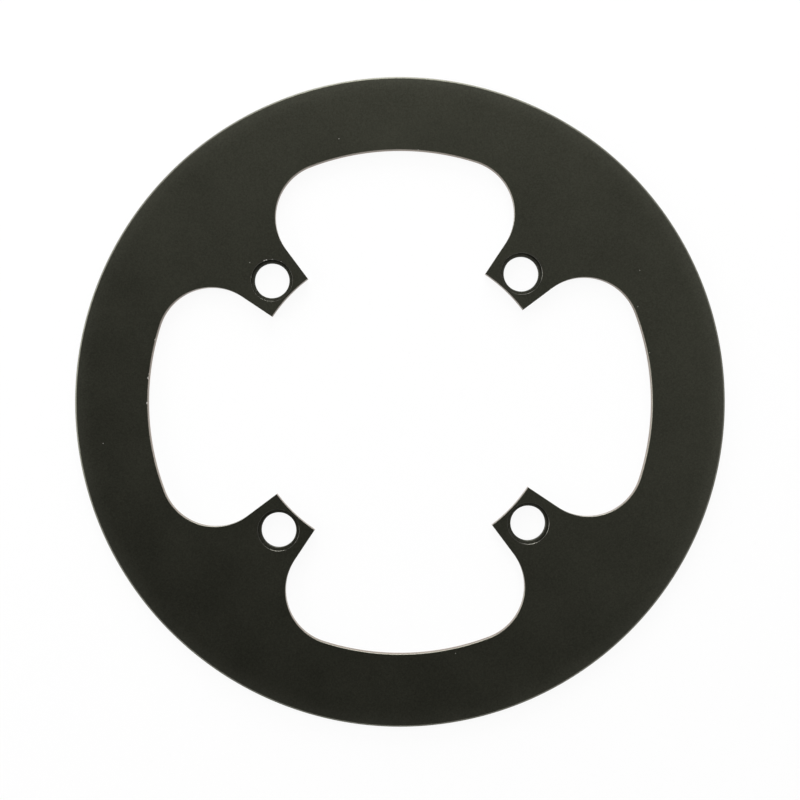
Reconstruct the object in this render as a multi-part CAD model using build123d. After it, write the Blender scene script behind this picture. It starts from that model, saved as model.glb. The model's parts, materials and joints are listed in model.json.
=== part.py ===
from build123d import *
from math import asin, degrees
import os

# Bicycle chain guard: a flat disc of aluminium sheet that bolts to the crank's spider, outside the chainring.
# It lies on its back face in the XY plane, with the centre of the bolt circle at the origin.
# +Z is the crank axle's direction, out of the front face, where the bolt heads sit.
# A lobe of the opening lies on each of +X, +Y, -X and -Y, and a bolt tab stands between each two lobes.

# Driving dimensions, in millimetres
OUTER_DIAMETER = 191.4  # reaches past the teeth of a 44-tooth ring
SHEET_THICKNESS = 3.0
RIM_WIDTH = 21.4  # solid band between the outer edge and the lobes
LOBE_CORNER_RADIUS = 16.0

BOLT_COUNT = 4
BOLT_CIRCLE_DIAMETER = 104.0
BOLT_SLEEVE_DIAMETER = 10.0  # sleeve of a chainring bolt's nut
SLEEVE_CLEARANCE = 0.3  # on the diameter
BOLT_HEAD_DIAMETER = 12.0
HEAD_CLEARANCE = 0.2  # on the diameter
HEAD_RECESS_DEPTH = 1.2

TAB_SIDE_WALL = 2.75  # metal between a head recess and the side of its tab
TAB_TIP_WALL = 0.6  # metal between a head recess and the tip of its tab

RIM_CHAMFER = 0.5  # both edges of the outer rim
EDGE_BREAK = 0.1  # every other edge, deburred

# Sizes that follow from them
BOLT_CIRCLE_RADIUS = BOLT_CIRCLE_DIAMETER / 2
HOLE_RADIUS = (BOLT_SLEEVE_DIAMETER + SLEEVE_CLEARANCE) / 2
RECESS_RADIUS = (BOLT_HEAD_DIAMETER + HEAD_CLEARANCE) / 2
RECESS_FLOOR = SHEET_THICKNESS - HEAD_RECESS_DEPTH
LOBE_RADIUS = OUTER_DIAMETER / 2 - RIM_WIDTH
TIP_RADIUS = BOLT_CIRCLE_RADIUS - RECESS_RADIUS - TAB_TIP_WALL

# A tab's sides are radial, so its width is an angle seen from the centre of the disc
TAB_HALF_ANGLE = degrees(asin((RECESS_RADIUS + TAB_SIDE_WALL) / BOLT_CIRCLE_RADIUS))
HALF_PITCH = 180 / BOLT_COUNT
LOBE_HALF_ANGLE = HALF_PITCH - TAB_HALF_ANGLE


def lobe():
    """One lobe of the opening, on +X: a slice of the circle inside the rim, with its two outer corners rounded."""
    arc = CenterArc((0, 0), LOBE_RADIUS, -LOBE_HALF_ANGLE, 2 * LOBE_HALF_ANGLE)
    slice_face = make_face([arc, Line((0, 0), arc @ 0), Line((0, 0), arc @ 1)])
    outer_corners = slice_face.vertices().sort_by_distance((0, 0))[1:]
    return fillet(outer_corners, LOBE_CORNER_RADIUS)


def blank():
    """The disc with its lobed opening cut and every edge of the outline broken."""
    opening = Circle(TIP_RADIUS) + PolarLocations(0, BOLT_COUNT) * lobe()
    disc = extrude(Circle(OUTER_DIAMETER / 2) - opening, SHEET_THICKNESS)
    disc = chamfer([face.outer_wire().edges() for face in flat_sides(disc)], RIM_CHAMFER)
    return chamfer([face.inner_wires()[0].edges() for face in flat_sides(disc)], EDGE_BREAK)


def flat_sides(disc):
    """The back face and the front face."""
    return disc.faces().filter_by(Axis.Z).sort_by(Axis.Z)


def bolt_seat():
    """What one bolt takes out of the sheet: the hole for its sleeve, the recess for its head and their broken edges."""
    section = Polyline(
        (0, 0),
        (HOLE_RADIUS + EDGE_BREAK, 0),
        (HOLE_RADIUS, EDGE_BREAK),
        (HOLE_RADIUS, RECESS_FLOOR),
        (RECESS_RADIUS, RECESS_FLOOR),
        (RECESS_RADIUS, SHEET_THICKNESS - EDGE_BREAK),
        (RECESS_RADIUS + EDGE_BREAK, SHEET_THICKNESS),
        (0, SHEET_THICKNESS),
        close=True,
    )
    return revolve(Plane.XZ * make_face(section), Axis.Z)


def guard_plate():
    """The finished guard: the blank with a bolt seat in each tab."""
    return blank() - PolarLocations(BOLT_CIRCLE_RADIUS, BOLT_COUNT, start_angle=HALF_PITCH) * bolt_seat()


os.makedirs("parts", exist_ok=True)
export_step(guard_plate(), "parts/guard_plate.step")
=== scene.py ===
import json
from math import asin, cos, pi, radians, sin, sqrt

import bmesh
import bpy
import numpy as np
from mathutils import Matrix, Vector


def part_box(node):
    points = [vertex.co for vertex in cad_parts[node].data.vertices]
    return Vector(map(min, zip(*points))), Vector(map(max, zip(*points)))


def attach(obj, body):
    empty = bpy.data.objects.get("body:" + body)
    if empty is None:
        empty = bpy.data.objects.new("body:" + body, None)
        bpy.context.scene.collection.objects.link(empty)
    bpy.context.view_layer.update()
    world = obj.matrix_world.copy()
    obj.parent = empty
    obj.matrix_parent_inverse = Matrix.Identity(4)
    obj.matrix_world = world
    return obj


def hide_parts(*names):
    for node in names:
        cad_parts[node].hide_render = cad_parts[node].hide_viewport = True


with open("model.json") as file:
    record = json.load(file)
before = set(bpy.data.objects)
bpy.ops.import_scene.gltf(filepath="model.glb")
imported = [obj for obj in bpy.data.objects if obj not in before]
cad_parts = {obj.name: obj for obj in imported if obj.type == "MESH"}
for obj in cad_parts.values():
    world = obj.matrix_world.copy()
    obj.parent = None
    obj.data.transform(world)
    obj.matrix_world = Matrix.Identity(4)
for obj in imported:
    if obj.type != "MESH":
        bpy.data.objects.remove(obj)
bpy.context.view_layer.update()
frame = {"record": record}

# Bicycle chain guard: a flat disc of black anodised aluminium with a lobed opening and four bolt tabs.
# Plan points are complex numbers, x + iy, so that a turn about the disc's centre is one multiplication.

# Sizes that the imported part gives, in metres
MM = 0.001
_, PLATE_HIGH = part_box("guard_plate")
OUTER_RADIUS = PLATE_HIGH.x
THICKNESS = PLATE_HIGH.z
MOUNTS = {mount["name"]: mount for mount in frame["record"]["mounts"]}
BOLT_COUNT = MOUNTS["chainring_bolts"]["dims"]["count"]
BOLT_CIRCLE_RADIUS = MOUNTS["chainring_bolts"]["dims"]["pcd_mm"] * MM / 2
HOLE_RADIUS = MOUNTS["chainring_bolts"]["dims"]["hole_r_mm"] * MM
RECESS_RADIUS = MOUNTS["bolt_head_recesses"]["dims"]["hole_r_mm"] * MM
RECESS_FLOOR = MOUNTS["bolt_head_recesses"]["pos_m"][2]

# The opening's own sizes
RIM_WIDTH = 21.4 * MM
LOBE_CORNER_RADIUS = 16 * MM
TAB_SIDE_WALL = 2.75 * MM
TAB_TIP_WALL = 0.6 * MM

# Broken edges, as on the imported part, and the narrow margins that keep the flats flat beside them
RIM_CHAMFER = 0.5 * MM
EDGE_BREAK = 0.1 * MM
FLAT_MARGIN = 0.04 * MM
SOFTENING = 0.025 * MM

# Sizes that follow from them
PITCH = 2 * pi / BOLT_COUNT
LOBE_RADIUS = OUTER_RADIUS - RIM_WIDTH
TIP_RADIUS = BOLT_CIRCLE_RADIUS - RECESS_RADIUS - TAB_TIP_WALL
TAB_HALF_ANGLE = asin((RECESS_RADIUS + TAB_SIDE_WALL) / BOLT_CIRCLE_RADIUS)
LOBE_HALF_ANGLE = PITCH / 2 - TAB_HALF_ANGLE
CORNER_CENTRE_RADIUS = LOBE_RADIUS - LOBE_CORNER_RADIUS
CORNER_ANGLE = LOBE_HALF_ANGLE - asin(LOBE_CORNER_RADIUS / CORNER_CENTRE_RADIUS)
SIDE_END_RADIUS = sqrt(CORNER_CENTRE_RADIUS**2 - LOBE_CORNER_RADIUS**2)

# How far the lighter tones of a worn edge and of a milled wall show, where they don't show in full
OUTER_WALL_WEAR = 0.3
HOLE_EDGE_WEAR = 0.28
SEAT_FLOOR_WEAR = 0.1
SEAT_RIM_MILLED = 0.6
# How much lighter the face gets towards the outer edge, in the worn edges' tone, and over what distance
RIM_LIGHTENING = 0.12
RIM_LIGHTENING_REACH = 6 * MM

# Small damage on the front: radius and angle in degrees about the disc's centre, and reach
# The nicks are cut into the opening's edge, and the chips and specks only show bare metal
NICKS = (
    (LOBE_RADIUS, 173.0, 0.34 * MM),
    (LOBE_RADIUS, 178.7, 0.32 * MM),
)
EDGE_CHIPS = (
    (LOBE_RADIUS, 84.3, 0.15 * MM),
    (LOBE_RADIUS, 164.2, 0.2 * MM),
    (LOBE_RADIUS, 172.1, 0.16 * MM),
)
FACE_SPECKS = (
    (60.3 * MM, 135.6, 0.1 * MM),
    (79.5 * MM, 101.5, 0.1 * MM),
    (88.2 * MM, 186.4, 0.1 * MM),
    (80.5 * MM, 27.2, 0.08 * MM),
    (75.4 * MM, 20.3, 0.08 * MM),
    (74.9 * MM, 9.6, 0.08 * MM),
    (75.8 * MM, 280.9, 0.1 * MM),
)

# Worn spots on the rim of the bolt seat at this angle, given in the same way about the seat's axis
MARKED_SEAT_ANGLE = 135
SEAT_SPOTS = (
    (RECESS_RADIUS, 109, 0.22 * MM),
    (RECESS_RADIUS, 103, 0.24 * MM),
    (RECESS_RADIUS, 86, 0.14 * MM),
    (RECESS_RADIUS, 62, 0.17 * MM),
    (RECESS_RADIUS, 169, 0.12 * MM),
)

# How finely the surfaces are divided
SIDE_STEPS = 16
CORNER_STEPS = 40
RIM_STEPS = 160
TIP_STEPS = 24
NECK_STEPS = 24
FACE_ROWS = 12
NECK_ROWS = 4
TAB_ROWS = 6
EDGE_CROWDING = 1.5
WELD_DISTANCE = 0.002 * MM
SHARP_ANGLE = radians(35)
LOBE_STEPS = 2 * CORNER_STEPS + RIM_STEPS
SEAT_STEPS = TIP_STEPS + 2 * SIDE_STEPS + 2 * NECK_ROWS + NECK_STEPS

# Half of the outer edge beside a lobe, as an angle: what is left of the pitch lies behind a tab
LOBE_RIM_ANGLE = radians(42)

# Where the parts of one pitch of the opening's outline start
LOBE_START = SIDE_STEPS
LOBE_END = LOBE_START + LOBE_STEPS
TIP_START = LOBE_END + SIDE_STEPS
PITCH_STEPS = TIP_START + TIP_STEPS


def run(start, end, steps):
    """Values spaced evenly from start to end, both kept, along the last axis."""
    return start + (end - start) * np.linspace(0, 1, steps + 1)


def turn(angle):
    """The unit complex number at that angle, which turns what it multiplies."""
    return np.exp(1j * np.asarray(angle))


def placed(marks, centre=0):
    """Plan point and reach of each mark: centre + radius x the unit number at its angle."""
    return [(centre + radius * turn(radians(angle)), reach) for radius, angle, reach in marks]


def all_round(one_pitch):
    """A run of plan points repeated at every pitch and closed on its first point, along the last axis."""
    copies = [one_pitch * turn(PITCH * k) for k in range(BOLT_COUNT)]
    return np.hstack(copies + [one_pitch[:, :1]])


def opening_edge(inset):
    """The opening's closed outline, moved into the metal by each value of inset, one row for each.

    A pitch of it runs out along a tab's side, round a lobe's first corner, along the rim, round the second
    corner, back in along the next tab's side and across that tab's tip. Arcs keep their centres and grow by
    inset. A tab's corner is where the moved side meets the moved tip circle, so its distance along the side
    is the root of (tip radius + inset) squared less inset squared. The second half of a lobe is the mirror
    image of the first.
    """
    inset = np.reshape(inset, (-1, 1))
    tip_radius = TIP_RADIUS + inset
    along = run(np.sqrt(tip_radius**2 - inset**2), SIDE_END_RADIUS, SIDE_STEPS)
    first_side = (along - 1j * inset) * turn(-LOBE_HALF_ANGLE)
    corner_angles = run(-LOBE_HALF_ANGLE - pi / 2, -CORNER_ANGLE, CORNER_STEPS)
    corner_centre = CORNER_CENTRE_RADIUS * turn(-CORNER_ANGLE)
    first_corner = corner_centre + (LOBE_CORNER_RADIUS + inset) * turn(corner_angles)
    rim = (LOBE_RADIUS + inset) * turn(run(-CORNER_ANGLE, CORNER_ANGLE, RIM_STEPS))
    second_corner = np.conj(first_corner)[:, ::-1]
    second_side = np.conj(first_side)[:, ::-1]
    tip_start = LOBE_HALF_ANGLE + np.arcsin(inset / tip_radius)
    tip = tip_radius * turn(run(tip_start, PITCH - tip_start, TIP_STEPS))
    stretches = (first_side, first_corner, rim, second_corner, second_side, tip)
    return all_round(np.hstack([stretch[:, :-1] for stretch in stretches]))


def outer_edge(inset):
    """The disc's closed outer circle, moved in by each value of inset, one row for each.

    Its points are spaced evenly beside a lobe, and evenly again behind a tab.
    """
    beside_lobe = run(-LOBE_RIM_ANGLE, LOBE_RIM_ANGLE, LOBE_STEPS)[:-1]
    behind_tab = run(LOBE_RIM_ANGLE, PITCH - LOBE_RIM_ANGLE, NECK_STEPS)[:-1]
    radius = OUTER_RADIUS - np.reshape(inset, (-1, 1))
    return all_round(radius * turn(np.concatenate([beside_lobe, behind_tab])))


def seat_circle(radius):
    """The closed circle round the bolt axis of the first tab, at each value of radius, one row for each.

    It runs clockwise, and starts so that the tab's tip lies opposite the middle of its first points.
    """
    first = PITCH / 2 + pi + pi * TIP_STEPS / SEAT_STEPS
    angles = run(first, first - 2 * pi, SEAT_STEPS)
    return BOLT_CIRCLE_RADIUS * turn(PITCH / 2) + np.reshape(radius, (-1, 1)) * turn(angles)


def ruled(first_edge, last_edge, rows, crowding=1.0):
    """The surface of straight lines between two edges: first + share x (last - first).

    The shares are even, raised to the power of crowding. Over 1 it brings the rows closer to the first edge.
    """
    share = np.linspace(0, 1, rows + 1)[:, None] ** crowding
    return first_edge + share * (last_edge - first_edge)


def flat_face(seat_radius):
    """One flat side of the plate in plan, as ruled surfaces for each pitch.

    A lobe's surface runs from the opening to the outer edge. A tab's runs from its seat to a loop of the
    tab's edge, the first rows of the two lobe surfaces beside it and the neck between them. The last one runs
    from that neck to the outer edge.
    """
    opening = opening_edge(EDGE_BREAK + FLAT_MARGIN)[0]
    outer = outer_edge(RIM_CHAMFER + FLAT_MARGIN)[0]
    lobe = ruled(opening[LOBE_START : LOBE_END + 1], outer[: LOBE_STEPS + 1], FACE_ROWS, EDGE_CROWDING)
    next_lobe = lobe * turn(PITCH)
    neck = run(next_lobe[NECK_ROWS, 0], lobe[NECK_ROWS, -1], NECK_STEPS)
    loop = np.concatenate([
        opening[TIP_START : PITCH_STEPS + SIDE_STEPS],
        next_lobe[:NECK_ROWS, 0],
        neck[:-1],
        lobe[NECK_ROWS:0:-1, -1],
        opening[LOBE_END : TIP_START + 1],
    ])
    tab = ruled(seat_circle(seat_radius + EDGE_BREAK + FLAT_MARGIN)[0], loop, TAB_ROWS)
    behind_tab = outer[LOBE_STEPS : LOBE_STEPS + NECK_STEPS + 1][::-1]
    rim = ruled(neck, behind_tab, FACE_ROWS - NECK_ROWS)
    return [plan * turn(PITCH * k) for plan in (lobe, tab, rim) for k in range(BOLT_COUNT)]


def broken_edge(size):
    """Inset and depth of a broken edge: a chamfer at 45 degrees, softened by SOFTENING at both its ends."""
    steps = np.array([0, SOFTENING, size - SOFTENING, size])
    return steps[::-1], steps


def wall_profile(size, edge_finish, wall_finish):
    """Inset, depth below the front, worn and milled tones of a wall with broken edges, from front to back.

    Each finish is the pair of tones that the broken edges or the wall between them have.
    """
    inset, depth = broken_edge(size)
    insets = np.concatenate([[size + FLAT_MARGIN], inset, [0]])
    depths = np.concatenate([[0], depth, [size + FLAT_MARGIN]])
    tones = np.array([(0, 0), (0, 0), edge_finish, edge_finish, wall_finish, wall_finish])
    return (
        np.concatenate([insets, insets[::-1]]),
        np.concatenate([depths, THICKNESS - depths[::-1]]),
        *np.concatenate([tones, tones[::-1]]).T,
    )


def seat_profile():
    """Radius, depth below the front, worn, milled and turned tones of a bolt seat, from front to back.

    It goes over the recess's broken rim, down its wall, in across its floor, over the hole's lip and down the
    hole to the broken edge at the back.
    """
    rim_inset, rim_depth = broken_edge(EDGE_BREAK)
    floor_depth = THICKNESS - RECESS_FLOOR
    hole_top = floor_depth + EDGE_BREAK + FLAT_MARGIN
    hole_foot = THICKNESS - EDGE_BREAK - FLAT_MARGIN
    parts = [
        ([RECESS_RADIUS + EDGE_BREAK + FLAT_MARGIN], [0], 0, 0, 0),
        (RECESS_RADIUS + rim_inset, rim_depth, 0, SEAT_RIM_MILLED, 0),
        ([RECESS_RADIUS] * 2, [EDGE_BREAK + FLAT_MARGIN, floor_depth], 0, 0, 0),
        ([RECESS_RADIUS, HOLE_RADIUS + EDGE_BREAK + FLAT_MARGIN], [floor_depth] * 2, SEAT_FLOOR_WEAR, 0, 1),
        (HOLE_RADIUS + rim_inset, floor_depth + rim_depth, HOLE_EDGE_WEAR, 0, 0),
        ([HOLE_RADIUS] * 2, [hole_top, hole_foot], 0, 0, 0),
        (HOLE_RADIUS + rim_inset[::-1], THICKNESS - rim_depth[::-1], HOLE_EDGE_WEAR, 0, 0),
        ([HOLE_RADIUS + EDGE_BREAK + FLAT_MARGIN], [THICKNESS], 0, 0, 0),
    ]
    radius, depth, *tones = zip(*parts)
    counts = [len(part) for part in radius]
    return np.concatenate(radius), np.concatenate(depth), *(np.repeat(tone, counts) for tone in tones)


def surface(plan, height, worn=0, milled=0, turned=0):
    """Points and finish zones of one grid: its plan, its height and the finish of each of its rows.

    The zones say how far a point is worn, milled and turned, from 0 to 1, and end with an alpha of 1.
    """
    points = np.stack([plan.real, plan.imag, np.broadcast_to(height, plan.shape)], axis=-1)
    zones = [np.broadcast_to(np.reshape(zone, (-1, 1)), plan.shape) for zone in (worn, milled, turned, 1)]
    return points, np.stack(zones, axis=-1)


def nick(points, place, reach):
    """A nick in the front face: points closer than reach to its centre move straight out to that distance.

    No point rises above the face.
    """
    away = points - np.array([place.real, place.imag, THICKNESS])
    distance = np.maximum(np.linalg.norm(away, axis=-1, keepdims=True), WELD_DISTANCE)
    moved = points + np.where(distance < reach, away * (reach / distance - 1), 0)
    moved[..., 2] = np.minimum(moved[..., 2], THICKNESS)
    return moved


def plate_surfaces():
    """Every surface of the plate: both flat sides, the outer wall, the opening's wall and the bolt seats."""
    surfaces = [surface(plan, THICKNESS) for plan in flat_face(RECESS_RADIUS)]
    surfaces += [surface(plan, 0) for plan in flat_face(HOLE_RADIUS)]
    inset, depth, *tones = wall_profile(RIM_CHAMFER, (1, 0), (OUTER_WALL_WEAR, 0))
    surfaces.append(surface(outer_edge(inset), THICKNESS - depth[:, None], *tones))
    inset, depth, *tones = wall_profile(EDGE_BREAK, (1, 0), (0, 1))
    surfaces.append(surface(opening_edge(inset), THICKNESS - depth[:, None], *tones))
    radius, depth, *tones = seat_profile()
    for k in range(BOLT_COUNT):
        surfaces.append(surface(seat_circle(radius) * turn(PITCH * k), THICKNESS - depth[:, None], *tones))
    for place, reach in placed(NICKS):
        surfaces = [(nick(points, place, reach), zones) for points, zones in surfaces]
    return surfaces


def grid_quads(rows, columns, first):
    """Corner numbers of a grid's quads, four to a row, for points numbered row by row from first."""
    corner = first + np.arange(rows * columns).reshape(rows, columns)
    around = (corner[:-1, :-1], corner[1:, :-1], corner[1:, 1:], corner[:-1, 1:])
    return np.stack(around, axis=-1).reshape(-1, 4)


def closed_mesh(name, surfaces):
    """One mesh of surfaces that share their edges, with the zones as a colour attribute on its points."""
    points = np.concatenate([grid.reshape(-1, 3) for grid, _ in surfaces])
    zones = np.concatenate([zone.reshape(-1, 4) for _, zone in surfaces])
    firsts = np.cumsum([0] + [grid.shape[0] * grid.shape[1] for grid, _ in surfaces])
    quads = [grid_quads(*grid.shape[:2], first) for (grid, _), first in zip(surfaces, firsts)]
    mesh = bpy.data.meshes.new(name)
    mesh.from_pydata(points.tolist(), [], np.concatenate(quads).tolist())
    attribute = mesh.attributes.new("zones", "FLOAT_COLOR", "POINT")
    attribute.data.foreach_set("color", zones.astype(np.float32).ravel())
    work = bmesh.new()
    work.from_mesh(mesh)
    bmesh.ops.remove_doubles(work, verts=work.verts, dist=WELD_DISTANCE)
    bmesh.ops.recalc_face_normals(work, faces=work.faces)
    work.to_mesh(mesh)
    work.free()
    mesh.shade_smooth()
    mesh.set_sharp_from_angle(angle=SHARP_ANGLE)
    return mesh


def feed(tree, socket, value):
    """Joins a socket to another node's output, or sets it to a plain value."""
    if isinstance(value, bpy.types.NodeSocket):
        tree.links.new(value, socket)
    else:
        socket.default_value = value


def add(tree, kind, inputs=(), **settings):
    """A new node with its settings and with what feeds its inputs."""
    node = tree.nodes.new(kind)
    for name, value in settings.items():
        setattr(node, name, value)
    for name, value in dict(inputs).items():
        feed(tree, node.inputs[name], value)
    return node


def calc(tree, operation, first, second=0.0):
    """The output of a Math node."""
    return add(tree, "ShaderNodeMath", {0: first, 1: second}, operation=operation).outputs[0]


def plus(tree, value, zone, extra):
    """value + zone x extra, so that extra only counts inside the zone."""
    return calc(tree, "ADD", value, calc(tree, "MULTIPLY", zone, extra))


def vector(tree, operation, first, second=(0, 0, 0)):
    """The output of a Vector Math node."""
    node = add(tree, "ShaderNodeVectorMath", {0: first, 1: second}, operation=operation)
    return node.outputs["Value" if operation in ("LENGTH", "DISTANCE") else "Vector"]


def remap(tree, value, from_low, from_high, to_low, to_high):
    """value carried from one range to another and held inside it."""
    ranges = {"From Min": from_low, "From Max": from_high, "To Min": to_low, "To Max": to_high}
    return add(tree, "ShaderNodeMapRange", {"Value": value, **ranges}).outputs["Result"]


def noise(tree, place, size, stretch=(1, 1, 1), detail=2.0):
    """Noise whose grains are about size metres across, longer where stretch is over 1."""
    scale = tuple(1 / (size * part) for part in stretch)
    mapping = add(tree, "ShaderNodeMapping", {"Vector": place, "Scale": scale})
    inputs = {"Vector": mapping.outputs[0], "Scale": 1.0, "Detail": detail}
    return add(tree, "ShaderNodeTexNoise", inputs).outputs[0]


def mix_colour(tree, share, first, second):
    """first where share is 0, second where it is 1."""
    node = add(tree, "ShaderNodeMix", data_type="RGBA")
    sockets = {socket.identifier: socket for socket in node.inputs}
    feed(tree, sockets["Factor_Float"], share)
    feed(tree, sockets["A_Color"], first)
    feed(tree, sockets["B_Color"], second)
    return next(socket for socket in node.outputs if socket.identifier == "Result_Color")


# Colours of the finish
ANODISED = (0.0405, 0.041, 0.031, 1)
WORN_EDGE = (0.2, 0.2, 0.165, 1)
MILLED_WALL = (0.15, 0.146, 0.13, 1)
BARE_METAL = (0.5, 0.48, 0.45, 1)

# Tints of what the face and the milled walls reflect at a low angle
FACE_TINT = (0.45, 0.445, 0.465, 1)
WALL_TINT = (1.0, 0.89, 0.81, 1)

# Sizes of the texture
GRAIN = 0.4 * MM
MOTTLE = 16 * MM
FACE_DETAIL = 3.0
CHIP = 0.35 * MM
TOOL_MARK = 0.3 * MM
TOOL_MARK_STRETCH = (1, 1, 40)
TURNING_PITCH = 0.2 * MM

# The part of each noise that counts
MOTTLE_RANGE = (0.3, 0.7)
GRAIN_RANGE = (0.25, 0.75)
TOOL_MARK_RANGE = (0.25, 0.75)
CHIP_RANGE = (0.7, 0.76)

# What the texture does to the tone, as shares of it, to the share of bare metal and to the roughness
MOTTLE_TONE = (0.95, 1.05)
GRAIN_TONE = (-0.2, 0.2)
TOOL_MARK_TONE = (-0.04, 0.04)
CHIP_BARE = (0, 0.5)
MOTTLE_ROUGHNESS = (0.45, 0.5)
MILLED_ROUGHNESS = -0.3
RING_ROUGHNESS = (-0.06, 0.06)

# How high it stands
BUMP_STRENGTH = 0.12
BUMP_HEIGHT = 0.02 * MM

# Where a mark's bare metal starts to fade and where it ends, in shares of its reach
MARK_FADES = 1.05
MARK_ENDS = 1.25


def bolt_distance(tree, place):
    """Distance from the nearest bolt axis.

    The four axes mirror each other, so |x| and |y| stand for all of them.
    """
    axis = BOLT_CIRCLE_RADIUS / sqrt(2)
    offset = vector(tree, "SUBTRACT", vector(tree, "ABSOLUTE", place), (axis, axis, 0))
    return vector(tree, "LENGTH", vector(tree, "MULTIPLY", offset, (1, 1, 0)))


def lighter_towards_rim(tree, place):
    """The face made lighter towards the outer edge: the square of a ramp over the last of the radius."""
    radius = vector(tree, "LENGTH", vector(tree, "MULTIPLY", place, (1, 1, 0)))
    ramp = remap(tree, radius, OUTER_RADIUS - RIM_LIGHTENING_REACH, OUTER_RADIUS, 0, 1)
    return calc(tree, "MULTIPLY", calc(tree, "POWER", ramp, 2.0), RIM_LIGHTENING)


def bare_marks(tree, place):
    """1 inside the nicks, chips, specks and worn spots, where bare metal shows, and 0 outside them."""
    marked_seat = BOLT_CIRCLE_RADIUS * turn(radians(MARKED_SEAT_ANGLE))
    shown = 0.0
    for centre, reach in placed(NICKS + EDGE_CHIPS + FACE_SPECKS) + placed(SEAT_SPOTS, marked_seat):
        distance = vector(tree, "DISTANCE", place, (centre.real, centre.imag, THICKNESS))
        mark = remap(tree, distance, MARK_FADES * reach, MARK_ENDS * reach, 1, 0)
        shown = calc(tree, "MAXIMUM", mark, shown)
    return shown


def black_anodised():
    """Satin black anodised aluminium.

    The face has fine grain, soft mottling and a lighter tone towards the outer edge. Edges are worn lighter
    and chipped. Milled walls are lighter and smoother, with upright tool marks. The floors of the bolt seats
    have turned rings, and the marks show bare metal.
    """
    material = bpy.data.materials.new("black_anodised")
    material.use_nodes = True
    tree = material.node_tree
    shader = tree.nodes["Principled BSDF"]
    place = add(tree, "ShaderNodeTexCoord").outputs["Object"]
    zones = add(tree, "ShaderNodeAttribute", attribute_name="zones")
    worn, milled, turned = add(tree, "ShaderNodeSeparateColor", {0: zones.outputs["Color"]}).outputs
    # Besides the worn edges, the face is made lighter towards the outer edge, which also brings a faint share
    # of the chips there
    worn = calc(tree, "MAXIMUM", worn, lighter_towards_rim(tree, place))

    grain = noise(tree, place, GRAIN, detail=FACE_DETAIL)
    mottle = noise(tree, place, MOTTLE, detail=FACE_DETAIL)
    tool_marks = noise(tree, place, TOOL_MARK, TOOL_MARK_STRETCH)
    chips = noise(tree, place, CHIP)
    rings = calc(tree, "SINE", calc(tree, "MULTIPLY", bolt_distance(tree, place), 2 * pi / TURNING_PITCH))

    colour = mix_colour(tree, worn, ANODISED, WORN_EDGE)
    colour = mix_colour(tree, milled, colour, MILLED_WALL)
    mottle_tone = remap(tree, mottle, *MOTTLE_RANGE, *MOTTLE_TONE)
    grain_tone = remap(tree, grain, *GRAIN_RANGE, *GRAIN_TONE)
    tool_mark_tone = remap(tree, tool_marks, *TOOL_MARK_RANGE, *TOOL_MARK_TONE)
    tone = plus(tree, calc(tree, "ADD", mottle_tone, grain_tone), milled, tool_mark_tone)
    colour = add(tree, "ShaderNodeVectorMath", {0: colour, "Scale": tone}, operation="SCALE").outputs[0]
    chipped = calc(tree, "MULTIPLY", worn, remap(tree, chips, *CHIP_RANGE, *CHIP_BARE))
    bare = calc(tree, "MAXIMUM", chipped, bare_marks(tree, place))
    feed(tree, shader.inputs["Base Color"], mix_colour(tree, bare, colour, BARE_METAL))

    rough = remap(tree, mottle, *MOTTLE_RANGE, *MOTTLE_ROUGHNESS)
    rough = plus(tree, rough, milled, MILLED_ROUGHNESS)
    rough = plus(tree, rough, turned, remap(tree, rings, -1, 1, *RING_ROUGHNESS))
    feed(tree, shader.inputs["Roughness"], rough)

    height = plus(tree, grain, milled, tool_marks)
    height = plus(tree, height, turned, rings)
    bump = add(tree, "ShaderNodeBump", {"Height": height, "Strength": BUMP_STRENGTH, "Distance": BUMP_HEIGHT})
    feed(tree, shader.inputs["Normal"], bump.outputs[0])
    feed(tree, shader.inputs["Specular Tint"], mix_colour(tree, milled, FACE_TINT, WALL_TINT))
    shader.inputs["Metallic"].default_value = 1.0
    return material


def make_plate():
    """The guard plate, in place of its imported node."""
    mesh = closed_mesh("guard_plate_visual", plate_surfaces())
    mesh.materials.append(black_anodised())
    plate = bpy.data.objects.new("guard_plate_visual", mesh)
    bpy.context.scene.collection.objects.link(plate)
    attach(plate, "root")
    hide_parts("guard_plate")


# Studio: a round white floor that curves up into a low wall, two tall panels, two softboxes and a dim ceiling
FLOOR_RADIUS = 0.95
COVE_RADIUS = 0.35
COVE_TOP = 0.45
COVE_STEPS = 16
COVE_COLUMNS = 96
FLOOR_DROP = 0.05 * MM
FLOOR_WHITE = (0.9, 0.9, 0.9, 1)
CEILING_LEVEL = 0.175

# The share of the floor's white that is an even glow, for the camera and in reflections
FLOOR_GLOW = 0.93
REFLECTED_GLOW = 0.4


def studio_white():
    """White paint that keeps shadows.

    For the camera most of it is an even white glow, and in reflections part of it.
    """
    material = bpy.data.materials.new("studio_white")
    material.use_nodes = True
    tree = material.node_tree
    tree.nodes.remove(tree.nodes["Principled BSDF"])
    path = add(tree, "ShaderNodeLightPath").outputs
    seen = calc(tree, "MULTIPLY", path["Is Camera Ray"], FLOOR_GLOW)
    reflected = calc(tree, "MAXIMUM", path["Is Glossy Ray"], path["Is Transmission Ray"])
    share = calc(tree, "MAXIMUM", seen, calc(tree, "MULTIPLY", reflected, REFLECTED_GLOW))
    paint = add(tree, "ShaderNodeBsdfDiffuse", {"Color": FLOOR_WHITE})
    glow = add(tree, "ShaderNodeEmission", {"Strength": 1.0})
    both = add(tree, "ShaderNodeMixShader", {0: share, 1: paint.outputs[0], 2: glow.outputs[0]})
    feed(tree, tree.nodes["Material Output"].inputs["Surface"], both.outputs[0])
    return material


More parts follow.
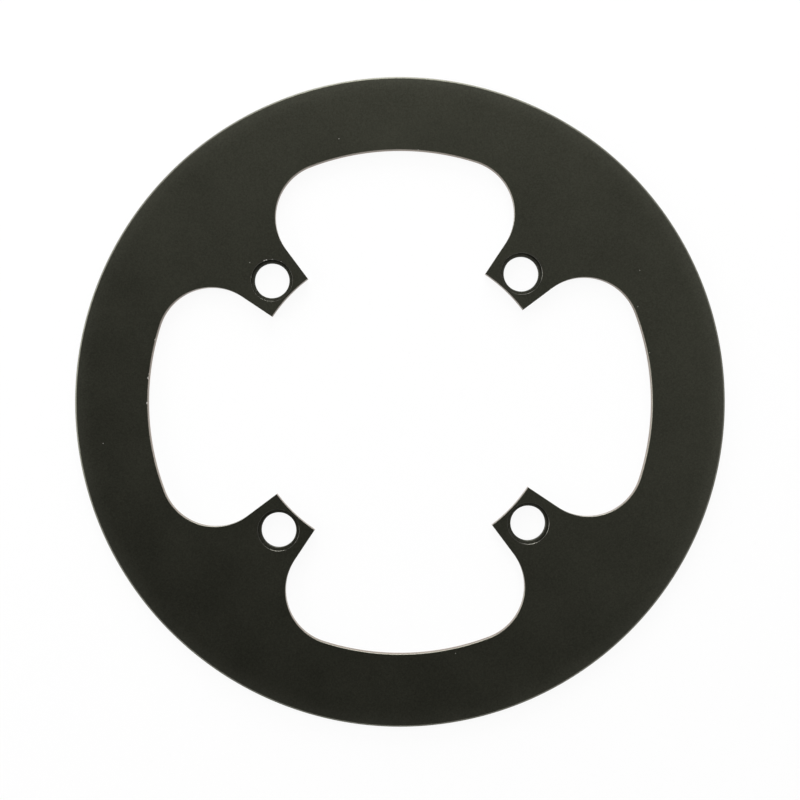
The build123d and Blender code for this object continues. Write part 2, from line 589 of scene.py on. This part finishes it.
def make_studio_floor():
    """Floor and wall in one surface: a profile of flat, quarter circle and upright, turned about the middle.

    The quarter circle's radius grows by the sine of its lean, and its height by 1 less the cosine.
    """
    lean = run(0, pi / 2, COVE_STEPS)
    wall_radius = FLOOR_RADIUS + COVE_RADIUS
    radius = np.concatenate([[0, FLOOR_RADIUS / 2], FLOOR_RADIUS + COVE_RADIUS * np.sin(lean), [wall_radius]])
    height = np.concatenate([[0, 0], COVE_RADIUS * (1 - np.cos(lean)), [COVE_TOP]]) - FLOOR_DROP
    plan = radius[:, None] * turn(run(0, 2 * pi, COVE_COLUMNS))
    mesh = closed_mesh("studio_floor", [surface(plan, height[:, None])])
    mesh.flip_normals()
    mesh.materials.append(studio_white())
    floor = bpy.data.objects.new("studio_floor", mesh)
    bpy.context.scene.collection.objects.link(floor)


# Lamps: name, direction round the plate and height above it in degrees, distance, width and height, radiance
LAMPS = (
    ("panel_far", 90, 20, 0.95, (0.69, 0.6), 8.6),
    ("panel_left", 172, 20, 0.95, (0.69, 0.6), 4.4),
    ("softbox_right", 0, 56, 1.1, (0.55, 0.47), 2.75),
    ("softbox_far", 95, 56, 1.1, (0.66, 0.47), 2.7),
)


def make_lamp(name, azimuth, elevation, distance, size, radiance):
    """A rectangular lamp that faces the plate. Its power is pi x area x radiance."""
    azimuth, elevation = radians(azimuth), radians(elevation)
    lamp = bpy.data.lights.new(name, "AREA")
    lamp.shape = "RECTANGLE"
    lamp.size, lamp.size_y = size
    lamp.energy = pi * size[0] * size[1] * radiance
    holder = bpy.data.objects.new(name, lamp)
    direction = Vector((cos(azimuth) * cos(elevation), sin(azimuth) * cos(elevation), sin(elevation)))
    holder.location = direction * distance
    holder.rotation_euler = direction.to_track_quat("Z", "Y").to_euler()
    holder.visible_camera = False
    bpy.context.scene.collection.objects.link(holder)


def make_ceiling():
    """A dim, even ceiling all over."""
    world = bpy.data.worlds.new("ceiling")
    world.use_nodes = True
    background = world.node_tree.nodes["Background"]
    background.inputs["Strength"].default_value = CEILING_LEVEL
    background.inputs["Color"].default_value = (1, 1, 1, 1)
    bpy.context.scene.world = world


# Camera: straight above the plate, turned a little about its axis
CAMERA_HEIGHT = 450 * MM
CAMERA_ROLL = radians(-1.554)
CAMERA_OFFSET = complex(0.01, 0.56) * MM
IMAGE_WIDTH_ON_PLATE = 235.42 * MM
SENSOR_WIDTH = 36.0


def make_camera():
    """The camera looks straight down. Its lens shows the image's width on the front face from that height."""
    data = bpy.data.cameras.new("camera")
    data.sensor_width = SENSOR_WIDTH
    data.lens = SENSOR_WIDTH * CAMERA_HEIGHT / IMAGE_WIDTH_ON_PLATE
    camera = bpy.data.objects.new("camera", data)
    place = CAMERA_OFFSET * turn(CAMERA_ROLL)
    camera.location = (place.real, place.imag, THICKNESS + CAMERA_HEIGHT)
    camera.rotation_euler = (0, 0, CAMERA_ROLL)
    bpy.context.scene.collection.objects.link(camera)
    bpy.context.scene.camera = camera


make_plate()
make_studio_floor()
for lamp_settings in LAMPS:
    make_lamp(*lamp_settings)
make_ceiling()
make_camera()
bpy.context.scene.view_settings.view_transform = "Standard"
